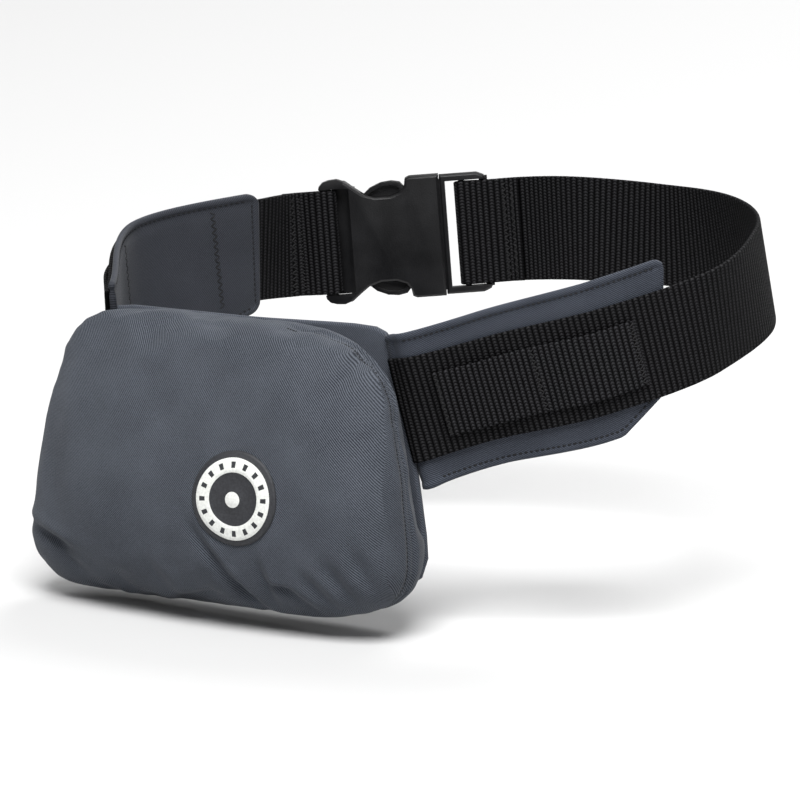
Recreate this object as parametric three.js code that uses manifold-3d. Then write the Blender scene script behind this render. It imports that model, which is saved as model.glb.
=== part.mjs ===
// A belt pack as it is worn. A stuffed fabric pouch hangs in front. Padded wings leave it on both
// sides and carry a webbing belt, which runs round the waist to a side-release buckle behind.
//
// Millimetres, +Z up. The origin is on the axis of the waist, at the belt's height. The pouch
// faces -Y, and +X is to the right of someone who looks at the pouch from the front.

import * as THREE from 'three';
import { mergeVertices } from 'three/addons/utils/BufferGeometryUtils.js';
import Module from 'manifold-3d';

const solids = await Module();
solids.setup();

// Clearances
const layerGap = 0.3; // between pieces that lie on each other
const buckleGap = 0.4; // between the buckle's halves

// Belt
const waistRadius = 156; // from the waist's axis to the belt's farthest side
const beltRise = 50; // from the belt's lowest place, at the pouch, to its highest
const webbingWidth = 50;
const webbingThick = 2;
const longTail = 29; // sewn end of the long strap, from the middle bar of the buckle
const shortTail = 22; // sewn end of the short strap, from the end bar of the buckle
const shortStrap = 42; // webbing that shows between the buckle and the left wing
const parting = 14; // the layers of a strap part over this length beside a bar

// Wings
const wingThick = 3;
const rightWingLength = 129;
const rightWingHigh = 39; // from the belt's middle up to the wing's top edge, at its free end
const rightRootHigh = 36; // and at the pouch
const rightWingLow = 38.5;
const rightWingSlant = 15; // its end leans back this much from top to bottom
const rightWingCut = 24; // and its bottom corner is cut away over this length
const leftWingHigh = 29.5;
const leftWingLow = 34;
const wingCorner = 6;

// Gear strips, the narrow webbing that is tacked on top of the belt to make two loops
const stripWidth = 32;
const stripThick = 1.6;
const stripLift = 1.5; // how far a loop stands off the belt between its tacks
const stripLoop = 48; // from tack to tack
const stripDrop = 0.5; // its middle lies this much below the belt's middle
const rightStripStart = 11; // from the pouch end of the right wing
const leftStripStart = 22; // from the free end of the left wing

// Pouch
const pouchAhead = 92; // from the waist's axis to the belt's middle at the pouch
const pouchAside = 45.5; // the pouch hangs this much to the left of the waist's axis
const pouchTop = 4; // its top edge, above the origin
const pouchHeight = 140;
const pouchWidthTop = 176;
const pouchWidthBottom = 216;
const pouchDepth = 54;
const pouchRoll = 2; // it hangs this much lower on its left, degrees
const coverWall = 2;
const rightInset = -3; // the belt leaves the pouch this far inside its width at the top
const leftInset = 13;
const rightLap = 8; // the right wing and the belt on it start this far inside the pouch's end
const panelThick = 4;
const panelInsetTop = 5; // the back panel ends this far inside the pouch's widest outline
const panelInsetBottom = 12;
const mouthLift = 7; // the cover's side edges stand this much off the panel, over the belt

// Round badge on the pouch
const badgeRadius = 22;
const badgeThick = 1.6;
const badgeAside = 24; // to the right of the pouch's middle
const badgeDrop = 78; // below the pouch's top edge

// Buckle
const femaleLength = 58.5;
const femaleHeight = 60.5;
const femaleWaist = 41; // height between the side bites
const femaleThick = 11;
const plateWall = 2.4;
const maleLength = 23.5; // what shows of the male half beside the female
const maleHeight = 58;
const frameThick = 6; // frame round the female half's slot
const maleThick = 6.8;
const barThick = 3; // the bars that the webbing turns on
const endBarWidth = 4; // flat bar at the male half's free end
const endBarThick = 2.4;
const tongueReach = 4.5; // of the male half's tongue into the mouth
const hollowDepth = 1.8; // of the hollows in its prongs' ends
const crossBar = 2.6; // width of its bar beside the mouth
const releaseSpan = 55.5; // across both release buttons
const femaleBarWidth = 6;
const lipReach = 8.5; // of the ledge behind the female half's slot, towards the bar
const lipThick = 1.3;
const slotLength = 15; // from the female half's free end to the far side of its webbing slot
const slotWall = 5.5; // between that slot and the hollow for the prongs
const frameStep = 2.5; // the frame round the slot is this much shorter than the slot
const webbingPlay = 0.8; // between the webbing's edge and the arms of a frame
const railWall = 2.2; // wall beside the prongs at the mouth
const barSeat = 1; // a bar's ends reach this far into the arms
const femaleBarInset = 3.6; // middle of a bar from the free end of its half
const maleBarInset = 12.5;
const buckleYaw = 29; // its long way, measured from +X
const bucklePitch = 4.5; // it climbs towards the male half

const buckleLength = femaleLength + maleLength;
const maleBarPlace = buckleLength / 2 - maleBarInset;
const femaleBarPlace = -buckleLength / 2 + femaleBarInset;
const femaleBarReach = (femaleBarWidth - barThick) / 2;

const rightReach = pouchWidthTop / 2 - rightInset;
const leftReach = pouchWidthTop / 2 - leftInset;

const up = new THREE.Vector3(0, 0, 1);

// A row for each place where the belt's run is set. Turn is in degrees round the waist's axis
// from +X, out is a share of waistRadius, rise is a share of beltRise, and lean is how far the
// belt's top edge tips outwards, in degrees.
const rightStations = [
  { turn: -44, out: 0.68, rise: -0.48, lean: 8 },
  { turn: -24, out: 0.85, rise: -0.22, lean: 3 },
  { turn: -4, out: 1.01, rise: 0.08, lean: 2 },
  { turn: 16, out: 1.03, rise: 0.28, lean: -9 },
  { turn: 36, out: 0.97, rise: 0.32, lean: -11 },
  { turn: 58, out: 0.87, rise: 0.24, lean: -3 },
  { turn: 80, out: 0.7, rise: 0.24, lean: 4 },
];
const buckleStation = { turn: 126, out: 0.685, rise: 0.06, lean: 6 };
const leftStations = [
  { turn: 165, out: 0.77, rise: 0.01, lean: -1 },
  { turn: 190, out: 0.975, rise: -0.16, lean: 1 },
];
const rightLapRoot = { rise: -0.72, lean: 4 };
const rightRoot = { rise: -0.68, lean: 5 };
const leftRoot = { rise: -0.42, lean: 3 };

function stationStop({ turn, out, rise, lean }) {
  const angle = THREE.MathUtils.degToRad(turn);
  const reach = out * waistRadius;
  const point = new THREE.Vector3(Math.cos(angle) * reach, Math.sin(angle) * reach, rise * beltRise);
  return { point, lean };
}

function rootStop({ rise, lean }, reach) {
  const point = new THREE.Vector3(reach - pouchAside, -pouchAhead, rise * beltRise);
  return { point, lean };
}

const towardMale = new THREE.Vector3(1, 0, 0)
  .applyAxisAngle(new THREE.Vector3(0, -1, 0), THREE.MathUtils.degToRad(bucklePitch))
  .applyAxisAngle(up, THREE.MathUtils.degToRad(buckleYaw));
const buckleMiddle = stationStop(buckleStation);

function buckleStop(share) {
  const point = buckleMiddle.point.clone().addScaledVector(towardMale, (share * buckleLength) / 2);
  return { point, lean: buckleMiddle.lean };
}

// The belt runs from the right end of the pouch, round behind, to the left end. It is straight
// along the buckle and a little past it.
const pastBuckle = 1.3;
const stops = [
  rootStop(rightLapRoot, rightReach - rightLap),
  rootStop(rightRoot, rightReach),
  ...rightStations.map(stationStop),
  buckleStop(pastBuckle),
  buckleStop(1),
  buckleStop(0),
  buckleStop(-1),
  buckleStop(-pastBuckle),
  ...leftStations.map(stationStop),
  rootStop(leftRoot, -leftReach),
];
const buckleIndex = rightStations.length + 4;
const divisionsPerStop = 60;
const route = new THREE.CatmullRomCurve3(stops.map((stop) => stop.point), false, 'centripetal');
route.arcLengthDivisions = divisionsPerStop * (stops.length - 1);
const routeLengths = route.getLengths();
const wholeRoute = routeLengths[routeLengths.length - 1];
const routeStart = -routeLengths[divisionsPerStop];
const routeEnd = wholeRoute + routeStart;
const buckleAlong = routeLengths[divisionsPerStop * buckleIndex] + routeStart;

// The belt's own axes at a distance along it from the right end of the pouch
function beltFrame(along) {
  const inside = THREE.MathUtils.clamp(along, routeStart, routeEnd);
  const t = route.getUtoTmapping((inside - routeStart) / wholeRoute);
  const tangent = route.getTangent(t);
  const point = route.getPoint(t).addScaledVector(tangent, along - inside);
  const place = t * (stops.length - 1);
  const index = Math.min(Math.floor(place), stops.length - 2);
  const blend = THREE.MathUtils.smoothstep(place - index, 0, 1);
  const lean = THREE.MathUtils.lerp(stops[index].lean, stops[index + 1].lean, blend);
  const out = tangent.clone().cross(up).normalize();
  out.applyAxisAngle(tangent, THREE.MathUtils.degToRad(lean));
  const rise = out.clone().cross(tangent);
  return { point, tangent, out, rise };
}

function beltPoint(along, out, height) {
  const frame = beltFrame(along);
  return frame.point.addScaledVector(frame.out, out).addScaledVector(frame.rise, height);
}

// A closed solid through rings of points, with both ends closed. The two halves of each ring are
// split into triangles as mirror images, so that layers that lie on each other match.
function solidOfRings(rings) {
  const count = rings[0].length;
  const points = rings.flat();
  const index = [];
  for (let ring = 0; ring < rings.length - 1; ring += 1) {
    for (let step = 0; step < count; step += 1) {
      const a = ring * count + step;
      const b = ring * count + ((step + 1) % count);
      const mirrored = step >= count / 2;
      const split = mirrored ? [b, b + count, a + count, a] : [a, b, b + count, a + count];
      index.push(split[0], split[1], split[2], split[0], split[2], split[3]);
    }
  }
  for (const [ring, first] of [[0, true], [rings.length - 1, false]]) {
    const middle = new THREE.Vector3();
    rings[ring].forEach((point) => middle.addScaledVector(point, 1 / count));
    points.push(middle);
    for (let step = 0; step < count; step += 1) {
      const a = ring * count + step;
      const b = ring * count + ((step + 1) % count);
      index.push(...(first ? [b, a, points.length - 1] : [a, b, points.length - 1]));
    }
  }
  const geometry = new THREE.BufferGeometry().setFromPoints(points);
  geometry.setIndex(index);
  return facingOut(mergeVertices(geometry, 1e-3));
}

function facingOut(geometry) {
  const place = geometry.getAttribute('position');
  const index = geometry.getIndex();
  const corner = [new THREE.Vector3(), new THREE.Vector3(), new THREE.Vector3()];
  let volume = 0;
  for (let i = 0; i < index.count; i += 3) {
    corner.forEach((point, k) => point.fromBufferAttribute(place, index.getX(i + k)));
    volume += corner[0].dot(corner[1].clone().cross(corner[2]));
  }
  if (volume < 0) {
    for (let i = 0; i < index.count; i += 3) {
      const swap = index.getX(i + 1);
      index.setX(i + 1, index.getX(i + 2));
      index.setX(i + 2, swap);
    }
  }
  return geometry;
}

function toSolid(geometry) {
  const plain = geometry.clone();
  plain.deleteAttribute('normal');
  plain.deleteAttribute('uv');
  const merged = mergeVertices(plain, 1e-4);
  return new solids.Manifold(new solids.Mesh({
    numProp: 3,
    vertProperties: new Float32Array(merged.getAttribute('position').array),
    triVerts: new Uint32Array(merged.getIndex().array),
  }));
}

function toGeometry(solid) {
  const mesh = solid.getMesh();
  const geometry = new THREE.BufferGeometry();
  geometry.setAttribute('position', new THREE.BufferAttribute(mesh.vertProperties, 3));
  geometry.setIndex(new THREE.BufferAttribute(mesh.triVerts, 1));
  return geometry;
}

function box(x0, x1, y0, y1, z0, z1) {
  const geometry = new THREE.BoxGeometry(x1 - x0, y1 - y0, z1 - z0);
  return geometry.translate((x0 + x1) / 2, (y0 + y1) / 2, (z0 + z1) / 2);
}

const cloth = new THREE.MeshStandardMaterial({ color: 0x50555f, roughness: 0.9 });
const padding = new THREE.MeshStandardMaterial({ color: 0x484d57, roughness: 0.9 });
const webbing = new THREE.MeshStandardMaterial({ color: 0x1c1c1e, roughness: 0.85 });
const plastic = new THREE.MeshStandardMaterial({ color: 0x17181a, roughness: 0.45 });
const rubber = new THREE.MeshStandardMaterial({ color: 0xd8d8d4, roughness: 0.6 });

const pack = new THREE.Group();

function addPiece(name, geometry, material) {
  const mesh = new THREE.Mesh(geometry, material);
  mesh.name = name;
  pack.add(mesh);
}

// Strips along the belt. A path is the middle of the strip's thickness, as distances along the
// belt and out of it. Rows gives the heights of the points across the strip, from its low edge
// to its high one, at a distance along the belt.
function beltStrip(path, thickness, rows) {
  const rings = path.map((place, index) => {
    const before = path[Math.max(index - 1, 0)];
    const after = path[Math.min(index + 1, path.length - 1)];
    const way = new THREE.Vector2(after.along - before.along, after.out - before.out).normalize();
    const side = new THREE.Vector2(-way.y, way.x).multiplyScalar(thickness / 2);
    const heights = rows(place.along);
    const outer = heights.map((height) => beltPoint(place.along + side.x, place.out + side.y, height));
    const inner = heights.map((height) => beltPoint(place.along - side.x, place.out - side.y, height));
    return [...outer, ...inner.reverse()];
  });
  return solidOfRings(rings);
}

// Places from start to end at whole steps along the belt, so that layers bend at the same places
function straightPath(start, end, step, out) {
  const [low, high] = [Math.min(start, end), Math.max(start, end)];
  const clear = step / 3; // no whole step this close to an end
  const places = [{ along: low, out }];
  for (let along = Math.ceil((low + clear) / step) * step; along < high - clear; along += step) {
    places.push({ along, out });
  }
  places.push({ along: high, out });
  return start < end ? places : places.reverse();
}

function evenRows(low, high, count) {
  return Array.from({ length: count }, (_, row) => THREE.MathUtils.lerp(low, high, row / (count - 1)));
}

const webbingRows = evenRows(-webbingWidth / 2, webbingWidth / 2, 7);
const beltStep = 5; // between the rings of points of the webbing and of the wings
const loopRadius = barThick / 2 + layerGap + webbingThick / 2; // webbing's middle round a bar

// Webbing to a buckle bar, round it and back. Reach is from the bar's middle to the middles of
// its rounded edges. Way is 1 where the belt's run reaches the bar from its right end, and side
// is the side of the belt on which the webbing comes in.
function strapPath(start, barAlong, reach, way, side, tail) {
  const layer = webbingThick + layerGap;
  const near = barAlong - way * reach;
  const path = straightPath(start, near - way * parting, beltStep, 0);
  for (const share of [0.25, 0.5, 0.75]) {
    const bend = THREE.MathUtils.smoothstep(share, 0, 1);
    path.push({ along: near - way * parting * (1 - share), out: side * loopRadius * bend });
  }
  for (let degrees = 0; degrees <= 180; degrees += 30) {
    const angle = THREE.MathUtils.degToRad(degrees);
    path.push({
      along: barAlong + way * (reach + loopRadius * Math.sin(angle)),
      out: side * loopRadius * Math.cos(angle),
    });
  }
  for (const share of [0, 0.25, 0.5, 0.75, 1]) {
    const bend = THREE.MathUtils.smoothstep(share, 0, 1);
    const along = near - way * parting * share;
    const out = -side * THREE.MathUtils.lerp(loopRadius, layer, bend);
    if (share > 0 || reach > 0) path.push({ along, out });
  }
  path.push({ along: barAlong - way * tail, out: -side * layer });
  return path;
}

const maleBarAlong = buckleAlong - maleBarPlace;
const femaleBarAlong = buckleAlong - femaleBarPlace;
const leftWingStart = buckleAlong + buckleLength / 2 + shortStrap;

// Long strap: it is sewn on the right wing, and its end is folded to the waist side
const longPath = strapPath(routeStart, maleBarAlong, 0, 1, 1, longTail);
addPiece('belt_long', beltStrip(longPath, webbingThick, () => webbingRows), webbing);

// Pouch. Its outline seen from the front is a rounded trapezoid, in polar form round its middle.
const pouchMiddle = new THREE.Vector3(-pouchAside, 0, pouchTop - pouchHeight / 2);
const panelFront = -pouchAhead + webbingThick / 2 + layerGap;
const panelBack = panelFront + panelThick;
const flare = (pouchWidthBottom - pouchWidthTop) / 2;
const sideNormal = new THREE.Vector2(pouchHeight, flare).normalize();
const sideReach = sideNormal.dot(new THREE.Vector2(pouchWidthTop / 2, pouchHeight / 2));
const coverCorners = { bottom: 4.5, topLeft: 6.5, topRight: 3.6 }; // powers: higher is sharper
const panelCorners = { bottom: 4.5, topLeft: 12, topRight: 12 };

// From the pouch's middle to its outline
function outlineRadius(angle, corners) {
  const rolled = angle - THREE.MathUtils.degToRad(pouchRoll);
  const x = Math.abs(Math.cos(rolled));
  const z = Math.sin(rolled);
  const right = THREE.MathUtils.smoothstep(Math.cos(rolled), -0.3, 0.3);
  const top = THREE.MathUtils.lerp(corners.topLeft, corners.topRight, right);
  const power = THREE.MathUtils.lerp(corners.bottom, top, THREE.MathUtils.smoothstep(z, -1, 1));
  const sideShare = Math.max(0, sideNormal.x * x + sideNormal.y * z) / sideReach;
  const endShare = Math.abs(z) / (pouchHeight / 2);
  return (sideShare ** power + endShare ** power) ** (-1 / power);
}

// A row for each section of the cover from its back edge to its front. Deep is a share of
// pouchDepth, and wide is a share of the outline.
const coverSections = [
  { deep: 0, wide: 0.93 },
  { deep: 0.08, wide: 0.965 },
  { deep: 0.2, wide: 0.99 },
  { deep: 0.35, wide: 1 },
  { deep: 0.52, wide: 0.99 },
  { deep: 0.68, wide: 0.96 },
  { deep: 0.81, wide: 0.9 },
  { deep: 0.9, wide: 0.81 },
  { deep: 0.955, wide: 0.68 },
  { deep: 0.985, wide: 0.5 },
  { deep: 1, wide: 0.26 },
];

// The pouch is thinner at its top than lower down, where its contents lie
const topDepth = 0.53;
const fullDepthAt = 0.6;

function depthShare(z) {
  const fall = (pouchTop - z) / pouchHeight;
  return THREE.MathUtils.lerp(topDepth, 1, THREE.MathUtils.smoothstep(fall, -0.1, fullDepthAt));
}

// A row for each main crease or dent of the cover. Across and down are shares of the pouch's
// half width and height from its middle, turn is the crease's way in degrees, and run, width
// and sink are its length, its half width and its depth as shares of pouchDepth.
const coverFolds = [
  { across: -0.18, down: 0.72, turn: -48, run: 0.55, width: 0.16, sink: 0.05 },
  { across: -0.86, down: 0.62, turn: -35, run: 0.35, width: 0.16, sink: 0.09 },
  { across: 0.62, down: 0.8, turn: -70, run: 0.35, width: 0.2, sink: 0.06 },
  { across: 0.3, down: 0.86, turn: -62, run: 0.3, width: 0.12, sink: 0.05 },
  { across: 0.74, down: -0.72, turn: 40, run: 0.4, width: 0.16, sink: 0.08 },
];

function foldSink(x, z) {
  let sink = 0;
  for (const fold of coverFolds) {
    const angle = THREE.MathUtils.degToRad(fold.turn);
    const way = new THREE.Vector2(Math.cos(angle), Math.sin(angle));
    const from = new THREE.Vector2(
      x - (fold.across * pouchWidthBottom) / 2,
      z + (fold.down * pouchHeight) / 2,
    );
    const along = from.dot(way) / ((fold.run * pouchDepth) / 2);
    const aside = from.cross(way) / (fold.width * pouchDepth);
    sink += fold.sink * pouchDepth * Math.exp(-(along * along + aside * aside));
  }
  return sink;
}

// Share of the belt's height band, from 0 outside it to 1 inside, for a height on the pouch
const bandLow = 0.72; // the band's low end, as a share of the pouch's height
const bandSoft = 12;

function beltBand(z) {
  const high = THREE.MathUtils.smoothstep(pouchTop + bandSoft / 2 - z, 0, bandSoft);
  const low = THREE.MathUtils.smoothstep(z - (pouchTop - pouchHeight * bandLow), 0, bandSoft);
  return high * low;
}

// A point of the cover. Its inner face is inset by the cloth's thickness. The back edge is lifted
// over the belt at the pouch's sides, and the folds fade out towards the back.
function coverPoint(angle, section, inset) {
  const radius = (outlineRadius(angle, coverCorners) - inset) * section.wide;
  const x = radius * Math.cos(angle);
  const z = radius * Math.sin(angle);
  const depth = (pouchDepth * depthShare(z + pouchMiddle.z) - inset) * section.deep;
  const nearEdge = 1 - THREE.MathUtils.smoothstep(section.deep, 0, 0.45);
  const atSide = THREE.MathUtils.smoothstep(Math.abs(Math.cos(angle)), 0.6, 0.85);
  const lift = layerGap + mouthLift * nearEdge * atSide * beltBand(z + pouchMiddle.z);
  const sink = foldSink(x, z) * THREE.MathUtils.smoothstep(section.deep, 0.1, 0.5);
  return new THREE.Vector3(x + pouchMiddle.x, panelFront - lift - depth + sink, z + pouchMiddle.z);
}

const coverSteps = 64;

function coverRing(section, inset) {
  const angles = Array.from({ length: coverSteps }, (_, step) => (step / coverSteps) * 2 * Math.PI);
  return angles.map((angle) => coverPoint(angle, section, inset));
}

const outerRings = coverSections.map((section) => coverRing(section, 0));
const innerRings = coverSections.map((section) => coverRing(section, coverWall)).reverse();
addPiece('pouch_cover', solidOfRings([...innerRings, ...outerRings]), cloth);

// Back panel, cut away where the right wing is sewn on
const panelOutline = Array.from({ length: coverSteps }, (_, step) => {
  const angle = (step / coverSteps) * 2 * Math.PI;
  const rise = THREE.MathUtils.smoothstep(Math.sin(angle), -1, 1);
  const inset = THREE.MathUtils.lerp(panelInsetBottom, panelInsetTop, rise);
  const radius = outlineRadius(angle, panelCorners) - inset;
  const corner = new THREE.Vector2(radius * Math.cos(angle), radius * Math.sin(angle));
  return corner.add(new THREE.Vector2(pouchMiddle.x, pouchMiddle.z));
});
const panelGeometry = new THREE.ExtrudeGeometry(new THREE.Shape(panelOutline), {
  depth: panelThick,
  bevelEnabled: false,
});
panelGeometry.rotateX(Math.PI / 2).translate(0, panelBack, 0);

function frameMatrix({ point, tangent, out, rise }) {
  return new THREE.Matrix4().makeBasis(tangent, rise, out).setPosition(point);
}

const cutReach = rightWingLength / 2;
const rootCut = box(-layerGap, cutReach, -rightWingLow - layerGap, cutReach, -cutReach, cutReach);
rootCut.applyMatrix4(frameMatrix(beltFrame(routeStart)));
addPiece('back_panel', toGeometry(toSolid(panelGeometry).subtract(toSolid(rootCut))), padding);

// Wings
const wingOut = -webbingThick / 2 - layerGap - wingThick / 2;
const fineStep = 1.5;
const wingTip = 1.5; // the last ring of a wing lies this far from its end
const leastRow = 0.1; // between rows that meet where a wing gets narrow

// A wing has a row wherever the webbing on it has one, so that both bend alike
function wingRows({ low, high }) {
  const rows = webbingRows.map((height, row) => {
    const last = webbingRows.length - row;
    return THREE.MathUtils.clamp(height, low + leastRow * (row + 1), high - leastRow * last);
  });
  return [low, ...rows, high];
}

function cornerDrop(fromEnd) {
  const inset = Math.max(0, wingCorner - fromEnd);
  return wingCorner - Math.sqrt(wingCorner * wingCorner - inset * inset);
}

function rightWingEdges(along) {
  const fromEnd = rightWingLength - along;
  const edge = THREE.MathUtils.lerp(rightRootHigh, rightWingHigh, along / rightWingLength);
  const high = edge - cornerDrop(fromEnd);
  const middle = -webbingWidth / 2;
  const slant = THREE.MathUtils.clamp(fromEnd / rightWingSlant, 0, 1);
  const cut = THREE.MathUtils.clamp((fromEnd - rightWingSlant) / rightWingCut, 0, 1);
  const low = THREE.MathUtils.lerp(rightWingHigh, middle, slant) + (-rightWingLow - middle) * cut;
  return { low, high };
}

const rightFine = rightWingLength - rightWingSlant;
const rightWingPath = [
  ...straightPath(routeStart, rightFine - fineStep, beltStep, wingOut),
  ...straightPath(rightFine, rightWingLength - wingTip, fineStep, wingOut),
];
const rightWing = beltStrip(rightWingPath, wingThick, (along) => wingRows(rightWingEdges(along)));
addPiece('wing_right', rightWing, padding);

function leftWingEdges(along) {
  const fromEnd = along - leftWingStart;
  const flareShare = THREE.MathUtils.smoothstep(fromEnd, 0, rightWingCut);
  const low = -THREE.MathUtils.lerp(leftWingHigh, leftWingLow, flareShare);
  return { low: low + cornerDrop(fromEnd), high: leftWingHigh - cornerDrop(fromEnd) };
}

// What comes to the left end of the pouch is cut flush with the back of its panel
const pastRoot = 6;

function cutAtPanel(geometry) {
  const reach = 2 * waistRadius;
  const ahead = box(-reach, reach, -reach, panelBack + layerGap, -reach, reach);
  return toGeometry(toSolid(geometry).subtract(toSolid(ahead)));
}

const leftFine = leftWingStart + wingCorner;
const leftWingPath = [
  ...straightPath(leftWingStart + fineStep / 2, leftFine - fineStep, fineStep, wingOut),
  ...straightPath(leftFine, routeEnd + pastRoot, beltStep, wingOut),
];
const leftWing = beltStrip(leftWingPath, wingThick, (along) => wingRows(leftWingEdges(along)));
addPiece('wing_left', cutAtPanel(leftWing), padding);

// Short strap: sewn on the left wing, with its end folded to the outer side
const shortPath = strapPath(routeEnd + pastRoot, femaleBarAlong, femaleBarReach, -1, -1, shortTail);
addPiece('belt_short', cutAtPanel(beltStrip(shortPath, webbingThick, () => webbingRows)), webbing);

// Gear strips, tacked at both ends and in the middle
function gearStrip(start) {
  const stepsPerLoop = 8;
  const flat = webbingThick / 2 + layerGap + stripThick / 2;
  const path = Array.from({ length: 2 * stepsPerLoop + 1 }, (_, step) => ({
    along: start + (step / stepsPerLoop) * stripLoop,
    out: flat + stripLift * Math.sin((step / stepsPerLoop) * Math.PI) ** 2,
  }));
  const rows = evenRows(-stripDrop - stripWidth / 2, -stripDrop + stripWidth / 2, 5);
  return beltStrip(path, stripThick, () => rows);
}

addPiece('gear_strip_right', gearStrip(rightStripStart), webbing);
addPiece('gear_strip_left', gearStrip(leftWingStart + leftStripStart), webbing);

// Badge, a disc that lies on the front of the cover
function coverFront(x, z) {
  const radius = Math.hypot(x, z);
  const angle = Math.atan2(z, x);
  const wide = radius / outlineRadius(angle, coverCorners);
  const inner = coverSections.findLastIndex((row) => row.wide >= wide);
  const row = coverSections[Math.min(inner, coverSections.length - 2)];
  const next = coverSections[Math.min(inner, coverSections.length - 2) + 1];
  const share = THREE.MathUtils.clamp((row.wide - wide) / (row.wide - next.wide), 0, 1);
  const deep = THREE.MathUtils.lerp(row.deep, next.deep, share);
  return coverPoint(angle, { deep, wide }, 0);
}

const badgeX = badgeAside;
const badgeZ = pouchHeight / 2 - badgeDrop;

function badgeRing(radius, lift) {
  const sides = 32;
  return Array.from({ length: sides }, (_, side) => {
    const angle = (side / sides) * 2 * Math.PI;
    const point = coverFront(badgeX + radius * Math.cos(angle), badgeZ + radius * Math.sin(angle));
    point.y -= lift;
    return point;
  });
}

const badgeShares = [0.35, 0.7, 1];
addPiece('badge', solidOfRings([
  ...badgeShares.map((share) => badgeRing(badgeRadius * share, layerGap)),
  ...badgeShares.map((share) => badgeRing(badgeRadius * share, layerGap + badgeThick)).reverse(),
]), rubber);

// Buckle, in axes of its own: +X towards the male half, +Y up the belt, +Z towards the waist
const buckleFrame = beltFrame(buckleAlong);
const buckleMatrix = new THREE.Matrix4().makeBasis(
  buckleFrame.tangent.clone().negate(),
  buckleFrame.rise,
  buckleFrame.out.clone().negate(),
).setPosition(buckleFrame.point);

function plate(outline, thick, bevel) {
  const shape = new THREE.Shape(outline.map(([x, y]) => new THREE.Vector2(x, y)));
  const geometry = new THREE.ExtrudeGeometry(shape, {
    depth: thick - 2 * bevel,
    bevelEnabled: bevel > 0,
    bevelThickness: bevel,
    bevelSize: bevel,
    bevelOffset: -bevel,
    bevelSegments: 1,
  });
  return toSolid(geometry.translate(0, 0, bevel - thick / 2));
}

function bothSides(half) {
  return [...half, ...half.map(([x, y]) => [x, -y]).reverse()];
}

const edgeRound = 1; // bevel of the buckle's edges
const mouthShare = 0.97; // height of the female half at its mouth, as a share of femaleHeight
const biteEnd = 0.72; // where the side bites end, as a share of the female half's length

// A row for each corner of the female half's outline, from its free end to its mouth. Along is
// a share of its length, and half is a share of its half height.
const femaleRows = [
  { along: 0, half: 0.82 },
  { along: 0.01, half: 0.9 },
  { along: 0.04, half: 0.96 },
  { along: 0.09, half: 0.99 },
  { along: 0.16, half: 1 },
  { along: 0.23, half: 0.95 },
  { along: 0.3, half: 0.84 },
  { along: 0.37, half: 0.74 },
  { along: 0.47, half: femaleWaist / femaleHeight },
  { along: 0.6, half: femaleWaist / femaleHeight },
  { along: 0.68, half: 0.735 },
  { along: 0.715, half: 0.83 },
  { along: 0.725, half: 0.94 },
  { along: 0.76, half: mouthShare },
  { along: 1, half: mouthShare },
];

const femaleEnd = -buckleLength / 2;
const mouth = femaleEnd + femaleLength;
const armInside = webbingWidth / 2 + webbingPlay;
const slotEnd = femaleEnd + slotLength;
const cavityStart = slotEnd + slotWall;
const cavityHalf = femaleThick / 2 - plateWall;
const railInside = (mouthShare * femaleHeight) / 2 - railWall;
const far = buckleLength;

const femaleOutline = femaleRows.map((row) => [
  femaleEnd + row.along * femaleLength,
  (row.half * femaleHeight) / 2,
]);
let female = plate(bothSides(femaleOutline), femaleThick, edgeRound);
const femaleCuts = [
  box(-far, slotEnd, -armInside, armInside, -far, far),
  box(cavityStart, far, -railInside, railInside, -cavityHalf, cavityHalf),
  box(cavityStart, femaleEnd + biteEnd * femaleLength, -far, far, -cavityHalf, cavityHalf),
  box(-far, slotEnd - frameStep, -far, far, frameThick / 2, far),
  box(-far, slotEnd - frameStep, -far, far, -far, -frameThick / 2),
];
for (const cut of femaleCuts) female = female.subtract(toSolid(cut));

function bar(place, reach) {
  const half = armInside + barSeat;
  const rod = new THREE.CylinderGeometry(barThick / 2, barThick / 2, 2 * half, 12);
  const [first, last] = [place - reach, place + reach];
  const edge = toSolid(rod.clone().translate(first, 0, 0));
  if (reach === 0) return edge;
  const web = toSolid(box(first, last, -half, half, -barThick / 2, barThick / 2));
  return edge.add(web).add(toSolid(rod.translate(last, 0, 0)));
}

female = female.add(bar(femaleBarPlace, femaleBarReach));
const lipBack = -femaleThick / 2;
const lipEnd = slotEnd + slotWall / 2;
const lip = box(slotEnd - lipReach, lipEnd, -armInside, armInside, lipBack, lipBack + lipThick);
female = female.add(toSolid(lip));
addPiece('buckle_female', toGeometry(female).applyMatrix4(buckleMatrix), plastic);

// Male half: a frame with two bars, and two prongs whose ends stand out at the side bites
const maleEnd = buckleLength / 2;
const maleStart = mouth + buckleGap;
const armOutside = maleHeight / 2;
const frameCorner = 5;
const arm = [
  [maleStart, armOutside],
  [maleEnd - frameCorner, armOutside],
  [maleEnd - frameCorner * 0.3, armOutside - frameCorner * 0.3],
  [maleEnd, armOutside - frameCorner],
];
let male = plate(bothSides(arm), maleThick, edgeRound);
const endBar = [maleEnd - endBarWidth, maleEnd];
const endBarFront = -webbingThick - layerGap; // the strap runs on the waist side of the end bar
const maleCuts = [
  box(maleStart + crossBar, endBar[0], -armInside, armInside, -far, far),
  box(endBar[0] - edgeRound, far, -armInside, armInside, endBarFront, far),
];
for (const cut of maleCuts) male = male.subtract(toSolid(cut));
male = male.add(bar(maleBarPlace, 0));
const endBarReach = armInside + barSeat;
const endBarBox = box(...endBar, -endBarReach, endBarReach, endBarFront - endBarThick, endBarFront);
male = male.add(toSolid(endBarBox));
const prongThick = 2 * (cavityHalf - buckleGap);
const tongue = railInside - buckleGap;
const tongueStart = mouth - tongueReach;
const tongueEnd = maleStart + edgeRound;
const tongueBox = box(tongueStart, tongueEnd, -tongue, tongue, -prongThick / 2, prongThick / 2);
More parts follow.
